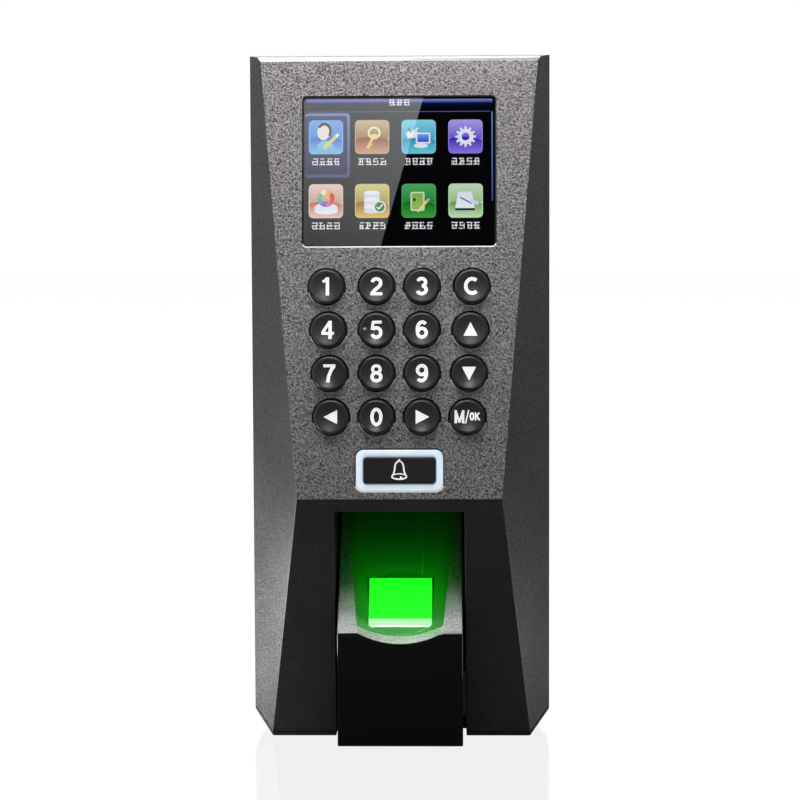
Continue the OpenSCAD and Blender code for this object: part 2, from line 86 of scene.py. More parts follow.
screen = middle("screen_window") + OUT * WINDOW_MIDDLE
PANEL = Matrix.Translation(screen) @ Matrix((Vector((1, 0, 0)), UP, OUT)).transposed().to_4x4()


def on_panel(node, depth):
    """The panel matrix moved to a node's axis."""
    m = middle(node)
    s = (m.z - screen.z + depth * OUT.z) / UP.z
    return PANEL @ Matrix.Translation((m.x, s, 0))


# ---------------------------------------------------------------- materials

def shader(name, color=(0.5, 0.5, 0.5), rough=0.5, metal=0.0, **sockets):
    mat = bpy.data.materials.new(name)
    mat.use_nodes = True
    bsdf = mat.node_tree.nodes["Principled BSDF"]
    bsdf.inputs["Base Color"].default_value = (*color, 1)
    bsdf.inputs["Roughness"].default_value = rough
    bsdf.inputs["Metallic"].default_value = metal
    for key, value in sockets.items():
        bsdf.inputs[key.replace("_", " ")].default_value = value
    mat.diffuse_color = (*color, 1)
    return mat, mat.node_tree.nodes, mat.node_tree.links, bsdf


def noise(nodes, links, coords, scale, detail=2.0, stretch=None):
    tex = nodes.new("ShaderNodeTexNoise")
    tex.inputs["Scale"].default_value = scale
    tex.inputs["Detail"].default_value = detail
    if stretch:
        move = nodes.new("ShaderNodeMapping")
        move.inputs["Scale"].default_value = stretch
        links.new(coords, move.inputs["Vector"])
        coords = move.outputs["Vector"]
    links.new(coords, tex.inputs["Vector"])
    return tex.outputs["Fac"]


def spread(nodes, links, value, low, high, start=0.3, end=0.7):
    node = nodes.new("ShaderNodeMapRange")
    for key, number in zip(("From Min", "From Max", "To Min", "To Max"), (start, end, low, high)):
        node.inputs[key].default_value = number
    links.new(value, node.inputs["Value"])
    return node.outputs["Result"]


def textured(name, color, rough, metal=0.0, speckle=0.1, fine=2200, mottle=0.05, broad=45,
             bump=0.15, bump_mm=0.05, bump_scale=None, wobble=0.06, stretch=None, **sockets):
    """Moulded, painted or metal surface: speckle, slow mottling, grain and uneven gloss."""
    mat, nodes, links, bsdf = shader(name, color, rough, metal, **sockets)
    coords = nodes.new("ShaderNodeTexCoord").outputs["Object"]
    small = noise(nodes, links, coords, fine, 2.0, stretch)
    large = noise(nodes, links, coords, broad, 3.0)
    both = nodes.new("ShaderNodeMath")
    both.operation = "MULTIPLY"
    links.new(spread(nodes, links, small, 1 - speckle, 1 + speckle), both.inputs[0])
    links.new(spread(nodes, links, large, 1 - mottle, 1 + mottle), both.inputs[1])
    tint = nodes.new("ShaderNodeVectorMath")
    tint.operation = "SCALE"
    tint.inputs[0].default_value = color
    links.new(both.outputs["Value"], tint.inputs["Scale"])
    links.new(tint.outputs["Vector"], bsdf.inputs["Base Color"])
    links.new(spread(nodes, links, large, rough - wobble, rough + wobble), bsdf.inputs["Roughness"])
    if bump:
        relief = nodes.new("ShaderNodeBump")
        relief.inputs["Strength"].default_value = bump
        relief.inputs["Distance"].default_value = bump_mm * MM
        grain = noise(nodes, links, coords, bump_scale, 3.0, stretch) if bump_scale else small
        links.new(grain, relief.inputs["Height"])
        links.new(relief.outputs["Normal"], bsdf.inputs["Normal"])
    return mat


DEEP_GREEN = (0.005, 0.1, 0.006, 1)


def lit(name, color, strength, rough=0.3, shade=0.12, scale=300, **sockets):
    """A glowing surface, a little uneven."""
    mat, nodes, links, bsdf = shader(name, color, rough, **sockets)
    coords = nodes.new("ShaderNodeTexCoord").outputs["Object"]
    uneven = noise(nodes, links, coords, scale, 1.0)
    glow = nodes.new("ShaderNodeVectorMath")
    glow.operation = "SCALE"
    glow.inputs[0].default_value = color
    links.new(spread(nodes, links, uneven, 1 - shade, 1), glow.inputs["Scale"])
    links.new(glow.outputs["Vector"], bsdf.inputs["Emission Color"])
    bsdf.inputs["Emission Strength"].default_value = strength
    return mat


PANEL_GREY = textured("panel_grey", (0.235, 0.224, 0.218), 0.48, 0.35, speckle=0.85, fine=2000,
                      mottle=0.05, bump=1.0, bump_mm=0.3, bump_scale=2000)
# The facets and the lower front are the panel's grey paint made darker: painted shade where they
# turn from the light.
FACET_GREY_PAINTED_SHADE = textured("facet_grey_painted_shade", (0.095, 0.09, 0.089), 0.42, 0.3, speckle=0.62, fine=2300,
                      bump=0.8, bump_mm=0.14, bump_scale=2300)
LOWER_PAINTED_SHADE = textured("lower_painted_shade", (0.029, 0.027, 0.028), 0.52, 0.1, speckle=0.45, fine=2900,
                       bump=0.6, bump_mm=0.1, bump_scale=2700)
# Near-black for hole walls, the recess and the reader's cavity; on the panel's rims that look down
# it is painted shade.
RECESS_BLACK_AND_PAINTED_SHADE = textured("recess_black_and_painted_shade", (0.02, 0.021, 0.02), 0.5, speckle=0.15, bump=0.08,
                        bump_mm=0.02)
INNER_BLACK = textured("inner_black", (0.03, 0.03, 0.032), 0.6, speckle=0.1, bump=0.12)
REAR_BLACK = textured("rear_black", (0.022, 0.022, 0.023), 0.45, speckle=0.2, fine=3600,
                      bump=0.35, bump_mm=0.05)
KEY_BLACK = textured("key_black", (0.029, 0.028, 0.033), 0.3, speckle=0.2, fine=3000,
                     bump=0.15, bump_mm=0.03)
BELL_BLACK = textured("bell_black", (0.014, 0.013, 0.016), 0.34, speckle=0.2, fine=3000,
                      bump=0.12, bump_mm=0.02)
GLOSS_BLACK = textured("gloss_black", (0.0035, 0.0035, 0.004), 0.07, speckle=0.05, bump=0,
                       mottle=0.02, wobble=0.02, Specular_IOR_Level=0.4)
SHOULDER = textured("rest_shoulder", (0.05, 0.05, 0.05), 0.4, speckle=0.8, fine=2000,
                    bump=0.9, bump_mm=0.16, bump_scale=1900, Specular_IOR_Level=0.9)
# The channel is black plastic tinted green: painted glow from the sensor, on top of the reader's
# real green lamp.
CHANNEL_PAINTED_GLOW = textured("rest_channel_painted_glow", (0.01, 0.055, 0.01), 0.5, speckle=0.15, fine=2400,
                   bump=0.15, bump_mm=0.03, Specular_IOR_Level=0.12)
# The pip is the keys' black plastic made mid-grey: a painted highlight, over the real gloss of its
# coat.
PIP_PAINTED_HIGHLIGHT = textured("pip_painted_highlight", (0.3, 0.3, 0.31), 0.14, speckle=0.05, bump=0, wobble=0.03,
                     Coat_Weight=0.6)
# Near-white chamfers: a painted highlight on the panel's rims that look up and along its top edge.
RIM_PAINTED_HIGHLIGHT = textured("rim_painted_highlight", (0.9, 0.88, 0.86), 0.4, 0.1, speckle=0.12, fine=2600, bump=0.1)
LEGEND_WHITE = textured("legend_white", (0.9, 0.9, 0.9), 0.45, speckle=0.02, bump=0.05,
                        Emission_Color=(1, 1, 1, 1), Emission_Strength=0.35)
RING_WHITE = lit("ring_white", (0.7, 0.8, 0.88), 0.55, 0.35)
GLASS_GREEN = lit("glass_green", (0.011, 1.0, 0.012), 1.05, 0.5, 0.05, 90, Base_Color=DEEP_GREEN,
                  Specular_IOR_Level=0.08)
GLASS_PALE = lit("glass_pale", (0.5, 1.0, 0.5), 1.0, 0.4, 0.12, 200, Base_Color=DEEP_GREEN)
# White glow along the glass's foot: a painted highlight.
GLASS_PAINTED_HIGHLIGHT = lit("glass_painted_highlight", (0.95, 1.0, 0.95), 1.0, 0.4, 0.04, 200)
ZINC = textured("zinc", (0.55, 0.56, 0.57), 0.36, 1.0, speckle=0.1, fine=900, mottle=0.12,
                bump=0.1, stretch=(1, 1, 0.08))
SCREW = textured("screw_nickel", (0.6, 0.6, 0.58), 0.28, 1.0, speckle=0.08, bump=0.1)
NICKEL = textured("cell_nickel", (0.7, 0.69, 0.66), 0.25, 1.0, speckle=0.06, bump=0.08)
TIN = textured("usb_tin", (0.68, 0.69, 0.7), 0.22, 1.0, speckle=0.05, bump=0.05)
SILICONE = textured("silicone", (0.5, 0.5, 0.48), 0.55, speckle=0.06, bump=0.1,
                    Subsurface_Weight=0.2)
BOARD = textured("circuit_board", (0.012, 0.1, 0.045), 0.3, speckle=0.3, fine=700, mottle=0.15,
                 bump=0.2, Coat_Weight=0.3)
EPOXY = textured("chip_epoxy", (0.028, 0.028, 0.03), 0.55, speckle=0.2, bump=0.2)
RELAY = textured("relay_blue", (0.02, 0.1, 0.36), 0.3, speckle=0.05, bump=0.08)
NYLON = textured("nylon", (0.72, 0.68, 0.57), 0.42, speckle=0.05, bump=0.1)
RUBBER = textured("rubber", (0.02, 0.02, 0.02), 0.62, speckle=0.15, bump=0.25,
                  Sheen_Weight=0.1)
AMBER = textured("ribbon_amber", (0.5, 0.22, 0.03), 0.25, speckle=0.1, fine=900,
                 bump=0.1, stretch=(1, 0.05, 0.05))
GREY_FILM = textured("ribbon_grey", (0.5, 0.5, 0.5), 0.4, speckle=0.3, fine=900,
                     bump=0.1, stretch=(1, 0.05, 0.05))
VINYL = textured("cable_vinyl", (0.02, 0.02, 0.022), 0.45, speckle=0.3, fine=900,
                 bump=0.2, stretch=(1, 0.05, 0.05))
FOAM = textured("foam_tape", (0.012, 0.012, 0.012), 0.85, speckle=0.3, bump=0.4)


def window_glass():
    """Clear window: it lets the picture through and mirrors by Fresnel's law."""
    mat = bpy.data.materials.new("window_glass")
    mat.use_nodes = True
    nodes, links = mat.node_tree.nodes, mat.node_tree.links
    nodes.remove(nodes["Principled BSDF"])
    clear = nodes.new("ShaderNodeBsdfTransparent")
    clear.inputs["Color"].default_value = (0.97, 0.98, 1.0, 1)
    mirror = nodes.new("ShaderNodeBsdfGlossy")
    mirror.inputs["Roughness"].default_value = 0.0
    fresnel = nodes.new("ShaderNodeFresnel")
    fresnel.inputs["IOR"].default_value = 2.2
    mix = nodes.new("ShaderNodeMixShader")
    links.new(fresnel.outputs["Fac"], mix.inputs["Fac"])
    links.new(clear.outputs["BSDF"], mix.inputs[1])
    links.new(mirror.outputs["BSDF"], mix.inputs[2])
    links.new(mix.outputs["Shader"], nodes["Material Output"].inputs["Surface"])
    return mat


def picture_light():
    """The lit picture: each patch glows in the colour that its corners carry."""
    mat, nodes, links, bsdf = shader("screen_light", (0, 0, 0), 0.5, Specular_IOR_Level=0.05)
    tint = nodes.new("ShaderNodeAttribute")
    tint.attribute_name = "Tint"
    links.new(tint.outputs["Color"], bsdf.inputs["Emission Color"])
    bsdf.inputs["Emission Strength"].default_value = 1.08
    return mat


# ---------------------------------------------------------------- mesh helpers

def circle(r, z=0.0, n=64):
    return [Vector((r * math.cos(math.tau * i / n), r * math.sin(math.tau * i / n), z))
            for i in range(n)]


def rounded(w, h, r, z=0.0, n=8):
    """Outline of a rectangle with round corners, counter-clockwise."""
    points = []
    for i, (sx, sy) in enumerate(((1, 1), (-1, 1), (-1, -1), (1, -1))):
        for k in range(n + 1):
            a = math.pi / 2 * (i + k / n)
            points.append(Vector((sx * (w / 2 - r) + r * math.cos(a),
                                  sy * (h / 2 - r) + r * math.sin(a), z)))
    return points


def loft(bm, loops):
    """Skin over loops of equal length, closed at both ends."""
    rings = [[bm.verts.new(p) for p in loop] for loop in loops]
    n = len(rings[0])
    for a, b in zip(rings, rings[1:]):
        for i in range(n):
            bm.faces.new((a[i], a[(i + 1) % n], b[(i + 1) % n], b[i]))
    bm.faces.new(list(reversed(rings[0])))
    bm.faces.new(rings[-1])


def finish_mesh(ob, angle=30):
    mesh = ob.data
    mesh.polygons.foreach_set("use_smooth", [True] * len(mesh.polygons))
    mesh.set_sharp_from_angle(angle=math.radians(angle))
    mesh.update()


def piece(name, bm, mats, body, matrix=None, replaces=(), angle=30, fix=True,
          weigh=False):
    """Turns a bmesh in millimetres, or in metres with no matrix, into a piece on a body."""
    if matrix is not None:
        bm.transform(matrix @ Matrix.Scale(MM, 4))
    if fix:
        bmesh.ops.recalc_face_normals(bm, faces=bm.faces)
    mesh = bpy.data.meshes.new(name)
    bm.to_mesh(mesh)
    bm.free()
    for mat in mats:
        mesh.materials.append(mat)
    ob = bpy.data.objects.new(name, mesh)
    bpy.context.scene.collection.objects.link(ob)
    finish_mesh(ob, angle)
    if weigh:
        flat = ob.modifiers.new("flat_faces", "WEIGHTED_NORMAL")
        flat.mode = "FACE_AREA"
        flat.weight = 100
        flat.keep_sharp = True
    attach(ob, body)
    if replaces:
        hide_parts(*replaces)
    return ob


def dressed(node, mats, pick, cuts, body="terminal", split=None):
    """A CAD node's own shape with softened edges and a material for each kind of face.

    Each cut is a test of an edge, a width, a number of steps and a choice of material for the new
    faces, or None where they take their neighbour's. A split is a point and normal of a plane along
    which faces are divided."""
    bm = bmesh.new()
    bm.from_mesh(frame["nodes"][node].data)
    bmesh.ops.remove_doubles(bm, verts=bm.verts, dist=WELD_DISTANCE)
    bmesh.ops.dissolve_limit(bm, angle_limit=math.radians(0.5), verts=bm.verts, edges=bm.edges)
    if split:
        bmesh.ops.bisect_plane(bm, geom=bm.verts[:] + bm.edges[:] + bm.faces[:], plane_co=split[0],
                               plane_no=split[1])
    bm.normal_update()
    for f in bm.faces:
        f.material_index = pick(f)
    for test, width, steps, kind in cuts:
        edges = [e for e in bm.edges if len(e.link_faces) == 2 and test(e)]
        made = bmesh.ops.bevel(bm, geom=edges, offset=width, segments=steps, profile=0.5,
                               affect="EDGES", clamp_overlap=False, loop_slide=True, material=-1)
        bm.normal_update()
        if kind is not None:
            for f in made["faces"]:
                f.material_index = kind(f)
    bmesh.ops.remove_doubles(bm, verts=bm.verts, dist=0.07 * MM)
    return piece(node + "_skin", bm, mats, body, replaces=(node,), angle=SMOOTH_BELOW,
                 fix=False, weigh=True)


def kinds_of(edge):
    return sorted(f.material_index for f in edge.link_faces)


def sharp(edge, degrees):
    return edge.calc_face_angle(0) > math.radians(degrees)


def ribbon(bm, points, width, height, closed=False, step=0.45, thick=0.09, ease=None):
    """A flat printed stroke along a line, with mitred corners. height(x, y) is where it lies."""
    line = [Vector((*p, 0)) for p in points]
    fine = []
    for a, b in zip(line, line[1:] + line[:1] if closed else line[1:]):
        n = max(1, math.ceil((b - a).length / step))
        fine += [a.lerp(b, k / n) for k in range(n)]
    if not closed:
        fine.append(line[-1])
    count = len(fine)
    rows = []
    for i, p in enumerate(fine):
        before = fine[i - 1] if closed or i else p
        after = fine[(i + 1) % count] if closed or i < count - 1 else p
        d = (after - before).normalized()
        side = Vector((-d.y, d.x, 0))
        leg = (p - before) if p != before else (after - p)
        turn = abs(leg.normalized().dot(d))
        reach = width / 2 / max(turn, 0.6)
        edge = [p + side * reach, p - side * reach]
        rows.append([bm.verts.new((q.x, q.y, height(q.x, q.y) + dz))
                     for q, dz in zip((edge[0], edge[1], edge[1], edge[0]),
                                      (thick / 2, thick / 2, -thick / 2, -thick / 2))])
    for a, b in list(zip(rows, rows[1:])) + ([(rows[-1], rows[0])] if closed else []):
        for k in range(4):
            bm.faces.new((a[k], a[(k + 1) % 4], b[(k + 1) % 4], b[k]))
    if not closed:
        bm.faces.new(list(reversed(rows[0])))
        bm.faces.new(rows[-1])


def arc(cx, cy, rx, ry, start, end, n=20):
    """Points of an oval arc, in degrees."""
    return [(cx + rx * math.cos(math.radians(start + (end - start) * k / n)),
             cy + ry * math.sin(math.radians(start + (end - start) * k / n)))
            for k in range(n + 1)]


def tube(bm, points, r, closed=False, sides=8):
    """A round bead that follows flat points, in millimetres."""
    n = len(points)
    rings = []
    for i, p in enumerate(points):
        a = points[(i - 1) % n] if closed or i else p
        b = points[(i + 1) % n] if closed or i < n - 1 else p
        d = (Vector(b) - Vector(a)).normalized()
        side = Vector((-d.y, d.x, 0))
        rings.append([bm.verts.new(Vector(p) + side * r * math.cos(math.tau * k / sides)
                                   + Vector((0, 0, 0.45 * r * math.sin(math.tau * k / sides))))
                      for k in range(sides)])
    pairs = list(zip(rings, rings[1:] + rings[:1])) if closed else list(zip(rings, rings[1:]))
    for a, b in pairs:
        for k in range(sides):
            bm.faces.new((a[k], a[(k + 1) % sides], b[(k + 1) % sides], b[k]))
    if not closed:
        bm.faces.new(list(reversed(rings[0])))
        bm.faces.new(rings[-1])


# ---------------------------------------------------------------- housings

def outside(node, tolerance=3e-5):
    """A test for faces on the outside of a node that is convex but for its holes."""
    points = [v.co.copy() for v in frame["nodes"][node].data.vertices]

    def test(face):
        n = face.normal
        return max(n.dot(p) for p in points) - n.dot(face.verts[0].co) < tolerance
    return test


PANEL_FACE, FACET, LOWER, WALL, HIDDEN, RIM, EDGE = range(7)
shell_outside = outside("front_shell")


def shell_kind(f):
    if not shell_outside(f):
        hidden = f.normal.y > 0.3 or f.calc_center_median().y > -20.5 * MM
        return HIDDEN if hidden else WALL
    if f.normal.dot(OUT) > 0.999:
        return PANEL_FACE
    # The lower front and the facets take the darker copies of the panel's paint, which are painted
    # shade.
    if f.normal.y < -0.9 and f.normal.z < -0.1:
        return LOWER
    # The chamfer along the top edge carries a painted highlight.
    top_chamfer = f.normal.y < -0.5 and f.normal.z > 0.5
    return RIM if top_chamfer else FACET


def rim_kind(f):
    """Rims that look up get a painted highlight, the others painted shade."""
    return RIM if f.normal.dot(UP) > 0.2 else EDGE


# Slot 5 is the painted highlight of rims and the top edge, slot 6 the painted shade of rims that
# look down.
dressed("front_shell", [PANEL_GREY, FACET_GREY_PAINTED_SHADE, LOWER_PAINTED_SHADE, RECESS_BLACK_AND_PAINTED_SHADE, INNER_BLACK, RIM_PAINTED_HIGHLIGHT,
                        RECESS_BLACK_AND_PAINTED_SHADE],
        shell_kind, [
            (lambda e: kinds_of(e) == [PANEL_FACE, WALL], 0.3 * MM, 1, rim_kind),
            (lambda e: kinds_of(e)[0] < WALL and kinds_of(e)[1] < RIM and sharp(e, 14),
             0.24 * MM, 2, None)])

rear_outside = outside("rear_cover")
dressed("rear_cover", [REAR_BLACK, INNER_BLACK], lambda f: 0 if rear_outside(f) else 1,
        [(lambda e: kinds_of(e)[0] == 0 and sharp(e, 25), 0.25 * MM, 2, None)])

# ---------------------------------------------------------------- finger reader

REST = Vector((0, -math.sin(REST_RISE), math.cos(REST_RISE)))   # out of the finger rest
reader_low, reader_high = (Vector(c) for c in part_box("reader_housing"))
glass_low, glass_high = (Vector(c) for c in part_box("sensor_glass"))

GLOSS, TEXTURED, HOLLOW, CAVITY = range(4)
reader_points = [v.co for v in frame["nodes"]["reader_housing"].data.vertices]
lip = Vector((0, reader_low.y, max(p.z for p in reader_points if p.y < reader_low.y + 0.01 * MM)))
LIP_BAND = 1.7 * MM          # how far back from the front the lip's texture runs in the channel
POCKET_DEPTH = 2.2 * MM      # floor of the pocket in front of the glass, measured into the rest


def reader_kind(f):
    c = f.calc_center_median()
    if f.normal.dot(REST) > 0.5 and f.normal.y < -0.2:
        if f.normal.y < -0.99:
            return GLOSS
        depth = (lip - c).dot(REST)
        shoulder = depth < 0.02 * MM
        near_lip = c.y < lip.y + LIP_BAND and depth < POCKET_DEPTH - 0.03 * MM
        return TEXTURED if shoulder or near_lip else HOLLOW
    if abs(abs(c.x) - reader_high.x) < 0.1 * MM or c.z < reader_low.z + 0.1 * MM:
        return GLOSS
    return CAVITY


reader_skin = dressed("reader_housing", [GLOSS_BLACK, SHOULDER, CHANNEL_PAINTED_GLOW, RECESS_BLACK_AND_PAINTED_SHADE], reader_kind,
                      [(lambda e: kinds_of(e)[0] == GLOSS and sharp(e, 20), 0.35 * MM, 3, None)],
                      split=(lip + Vector((0, LIP_BAND, 0)), (0, 1, 0)))
# The glass's front glows a paler green, and its foot, where it meets the pocket's floor, glows
# white: a painted highlight.
FOOT_HEIGHT = 0.32 * MM
foot = lip.z + (glass_low.y - lip.y) * math.tan(REST_RISE) \
    - POCKET_DEPTH / math.cos(REST_RISE) + FOOT_HEIGHT


def glass_kind(f):
    if f.normal.y > -0.9:
        return 0
    return 2 if f.calc_center_median().z < foot else 1


dressed("sensor_glass", [GLASS_GREEN, GLASS_PALE, GLASS_PAINTED_HIGHLIGHT], glass_kind,
        [(lambda e: sharp(e, 20), 0.15 * MM, 2, None)],
        split=(Vector((0, 0, foot)), (0, 0, 1)))

# ---------------------------------------------------------------- keys

ARROWS = {"key_up": 90, "key_down": -90, "key_left": 180, "key_right": 0}
CAP_R = 4.6            # a cap's radius above its flange
RIM_R, RIM_Z, DISH = 4.08, 1.86, 0.42     # where a cap's face starts, and how deep it is dished


def dish(x, y):
    """Height of a cap's hollow face over the panel."""
    return RIM_Z - DISH * (1 - min(1.0, math.hypot(x, y) / RIM_R) ** 2)


def key_piece(node):
    bm = bmesh.new()
    low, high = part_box(node)
    across = (high[0] - low[0]) / 2 / MM
    profile = [(2.0, -3.9), (2.0, -3.2), (across, -3.2), (across, -2.35), (CAP_R, -2.3),
               (CAP_R, 1.05), (CAP_R - 0.04, 1.3), (CAP_R - 0.13, 1.52), (CAP_R - 0.27, 1.7),
               (CAP_R - 0.42, 1.81), (RIM_R, RIM_Z)]
    profile += [(r, dish(r, 0)) for r in (3.8, 3.4, 2.8, 2.1, 1.4, 0.7, 0.3)]
    loft(bm, [circle(r, z) for r, z in profile])
    place = on_panel(node, KEY_WIDEST)
    piece(node + "_cap", bm, [KEY_BLACK], node, place, (node,), 60)
    return place


# Printed figures, as the middle lines of their strokes in mm, each with its width
STEM, THIN = 0.88, 0.78
OVAL = arc(0, 0, 1.17, 1.98, 0, 360, 40)[:-1]
SIX = [(arc(0.02, -0.82, 1.13, 1.16, 0, 360, 32)[:-1], STEM, True),
       (arc(0.12, 0.0, 1.3, 2.0, 196, 48, 24), STEM, False)]
FIGURES = {
    "0": [(OVAL, STEM, True)],
    "1": [([(0.3, -2.4), (0.3, 2.4)], STEM, False),
          ([(-0.98, 1.22), (-0.5, 1.45), (-0.05, 1.85), (0.22, 2.25)], 0.7, False)],
    "2": [(arc(0, 0.88, 1.13, 1.1, 168, -28) + [(0.5, -0.25), (-0.55, -1.15), (-1.05, -1.85)],
           STEM, False), ([(-1.55, -2.0), (1.58, -2.0)], THIN, False)],
    "3": [(arc(-0.02, 1.02, 1.05, 0.98, 160, -85), STEM, False),
          (arc(-0.02, -0.92, 1.18, 1.08, 88, -160), STEM, False)],
    "4": [([(0.6, -2.4), (0.6, 2.4)], STEM, False), ([(-1.68, -0.92), (1.6, -0.92)], THIN, False),
          ([(0.5, 2.15), (-1.42, -0.75)], 0.72, False)],
    "5": [([(-0.95, 2.0), (1.4, 2.0)], THIN, False), ([(-0.82, 2.2), (-1.12, -0.05)], 0.75, False),
          (arc(-0.02, -0.75, 1.18, 1.25, 140, -160), STEM, False)],
    "6": SIX,
    "7": [([(-1.58, 2.0), (1.58, 2.0)], THIN, False),
          ([(1.25, 1.95), (0.4, 0.75), (-0.2, -0.8), (-0.42, -2.4)], STEM, False)],
    "8": [(arc(0, 1.05, 0.98, 0.94, 0, 360, 32)[:-1], 0.8, True),
          (arc(0, -0.93, 1.16, 1.06, 0, 360, 32)[:-1], STEM, True)],
    "9": [([(-x, -y) for x, y in points], width, closed) for points, width, closed in SIX],
    "clear": [(arc(0.05, 0, 1.68, 1.9, 48, 312, 30), 0.92, False)],
    "ok": [([(-3.1, -1.72), (-3.1, 1.72)], 0.62, False),
           ([(-1.15, -1.72), (-1.15, 1.72)], 0.62, False),
           ([(-3.1, 1.6), (-2.13, -1.5)], 0.55, False),
           ([(-2.13, -1.5), (-1.15, 1.6)], 0.55, False),
           ([(-0.55, -1.75), (0.3, 1.75)], 0.36, False),
           (arc(1.15, 0.1, 0.42, 0.88, 0, 360, 24)[:-1], 0.4, True),
           ([(2.1, -0.97), (2.1, 1.17)], 0.42, False), ([(3.1, 1.1), (2.2, 0.0)], 0.38, False),
           ([(2.35, 0.3), (3.15, -0.95)], 0.4, False)],
}


def legend(node, place, strokes):
    bm = bmesh.new()
    for points, width, closed in strokes:
        ribbon(bm, points, width, dish, closed)
    piece(node + "_legend", bm, [LEGEND_WHITE], node, place)


def arrow(node, place, angle):
    bm = bmesh.new()
    turn = Matrix.Rotation(math.radians(angle), 2)
    rows = 8
    for z, flip in ((0.04, False), (-0.06, True)):
        grid = []
        for i in range(rows + 1):
            x = 1.95 - 3.6 * i / rows
            half = 1.85 * i / rows
            line = [turn @ Vector((x, half * k)) for k in (-1, -0.5, 0, 0.5, 1)]
            grid.append([bm.verts.new((p.x, p.y, dish(p.x, p.y) + z)) for p in line])
        for a, b in zip(grid, grid[1:]):
            for k in range(4):
                loop = (a[k], a[k + 1], b[k + 1], b[k])
                bm.faces.new(tuple(reversed(loop)) if flip else loop)
    bmesh.ops.remove_doubles(bm, verts=bm.verts, dist=1e-4)
    piece(node + "_legend", bm, [LEGEND_WHITE], node, place)


for key in [n for n in frame["nodes"] if n.startswith("key_")]:
    place = key_piece(key)
    if key in ARROWS:
        arrow(key, place, ARROWS[key])
    else:
        legend(key, place, FIGURES[key[4:]])

bm = bmesh.new()
loft(bm, [circle(r, dish(3.0, 0) + z, 24) for r, z in
          ((0.52, -0.2), (0.52, 0), (0.48, 0.16), (0.36, 0.32), (0.16, 0.41), (0.04, 0.43))])
piece("key_5_pip", bm, [PIP_PAINTED_HIGHLIGHT], "key_5",
      on_panel("key_5", KEY_WIDEST) @ Matrix.Translation((-3.0 * MM, 0.1 * MM, 0)))

# Bell key and its ring

bell = on_panel("bell_light_ring", RING_WIDEST)
bm = bmesh.new()
loft(bm, [rounded(21, 9, 1, -4.6), rounded(21, 9, 1, -3.8), rounded(19, 7, 1, -3.8),
          rounded(19, 7, 1, 0.45), rounded(18.9, 6.9, 0.95, 0.65), rounded(18.6, 6.6, 0.8, 0.82),
          rounded(18.2, 6.2, 0.6, 0.88)])
piece("bell_key_cap", bm, [BELL_BLACK], "bell_key", bell, ("bell_key",), 40,
      weigh=True)

ICON_Z = 0.92                # mm, height of the icon's middle over the panel
SKIRT_Y = -1.3               # mm, where the bell ends and its curved foot starts
bell_shape = [(-0.9, 0.75), (-0.75, 1.35), (-0.35, 1.75), (0, 1.9), (0.35, 1.75), (0.75, 1.35),
              (0.9, 0.75), (1.0, -0.2), (1.25, -0.85), (1.55, SKIRT_Y)]
bell_skirt = [(1.55 * math.cos(a), SKIRT_Y - 0.55 * math.sin(a))
              for a in [math.pi * k / 12 for k in range(13)]]


def bead(points, r, closed=False):
    tube(bm, [(x, y, ICON_Z) for x, y in points], r, closed)


bm = bmesh.new()
bead(bell_shape + bell_skirt[1:-1] + [(-x, y) for x, y in reversed(bell_shape[7:])], 0.17, True)
bead([(x, 2 * SKIRT_Y - y) for x, y in bell_skirt], 0.12)
bead([(0, 1.9), (0, 2.25)], 0.22)
bead([(0.15, -1.5), (0.6, -1.45)], 0.2)
bmesh.ops.scale(bm, vec=(1.25, 1.28, 1), verts=bm.verts)
piece("bell_key_icon", bm, [LEGEND_WHITE], "bell_key", bell)

bm = bmesh.new()
outer = [(25, 13, 1.9, -3.6), (25, 13, 1.9, -2.4), (22.6, 10.6, 1.9, -2.35), (22.6, 10.6, 1.9, 0.0),
         (22.4, 10.4, 1.8, 0.12), (22.1, 10.1, 1.7, 0.15)]
inner = [(20.0, 8.0, 1.3, 0.15), (19.6, 7.6, 1.2, 0.05), (19.4, 7.4, 1.1, -0.15),
         (19.4, 7.4, 1.1, -3.6)]
rings = [[bm.verts.new(p) for p in rounded(*size)] for size in outer + inner]
for a, b in zip(rings, rings[1:] + rings[:1]):
    n = len(a)
    for i in range(n):
        bm.faces.new((a[i], a[(i + 1) % n], b[(i + 1) % n], b[i]))
piece("bell_ring_light", bm, [RING_WHITE], "terminal", bell, ("bell_light_ring",), 40)

# ---------------------------------------------------------------- screen picture

PICTURE_W, PICTURE_H = 50.3, 39.3   # mm, just inside the opening
PICTURE_TOP = PICTURE_H / 2 + 0.82  # mm, so that it meets the opening's top edge
PICTURE_Z = -2.29                   # mm, height of the picture's lowest layer over the panel
LAYER = 0.012                       # mm between layers of the picture
SIDE_DEPTH = 0.7                    # how far a patch's sides reach down, in layers
picture = bmesh.new()
tint = picture.loops.layers.float_color.new("Tint")


def srgb(*rgb):
    return tuple((c / 255) ** 2.2 for c in rgb)


def patch(points, color, layer=1, shade=None):
    """A flat patch of the picture. Points are mm from its top left corner, y down."""
    z = PICTURE_Z + LAYER * layer
    corners = [Vector((x - PICTURE_W / 2, PICTURE_TOP - y, z)) for x, y in points]
    rings = [[picture.verts.new(p - Vector((0, 0, LAYER * SIDE_DEPTH))) for p in corners],
             [picture.verts.new(p) for p in corners]]
    n = len(corners)
    faces = [picture.faces.new(rings[1])]
    faces += [picture.faces.new((rings[0][i], rings[0][(i + 1) % n], rings[1][(i + 1) % n],
                                 rings[1][i])) for i in range(n)]
    low, high = min(p[1] for p in points), max(p[1] for p in points)
    for f in faces:
        for loop in f.loops:
            y = PICTURE_TOP - loop.vert.co.y
            c = color if shade is None else [
                a + (b - a) * (y - low) / max(high - low, 1e-6) for a, b in zip(color, shade)]
            loop[tint] = (*c, 1)


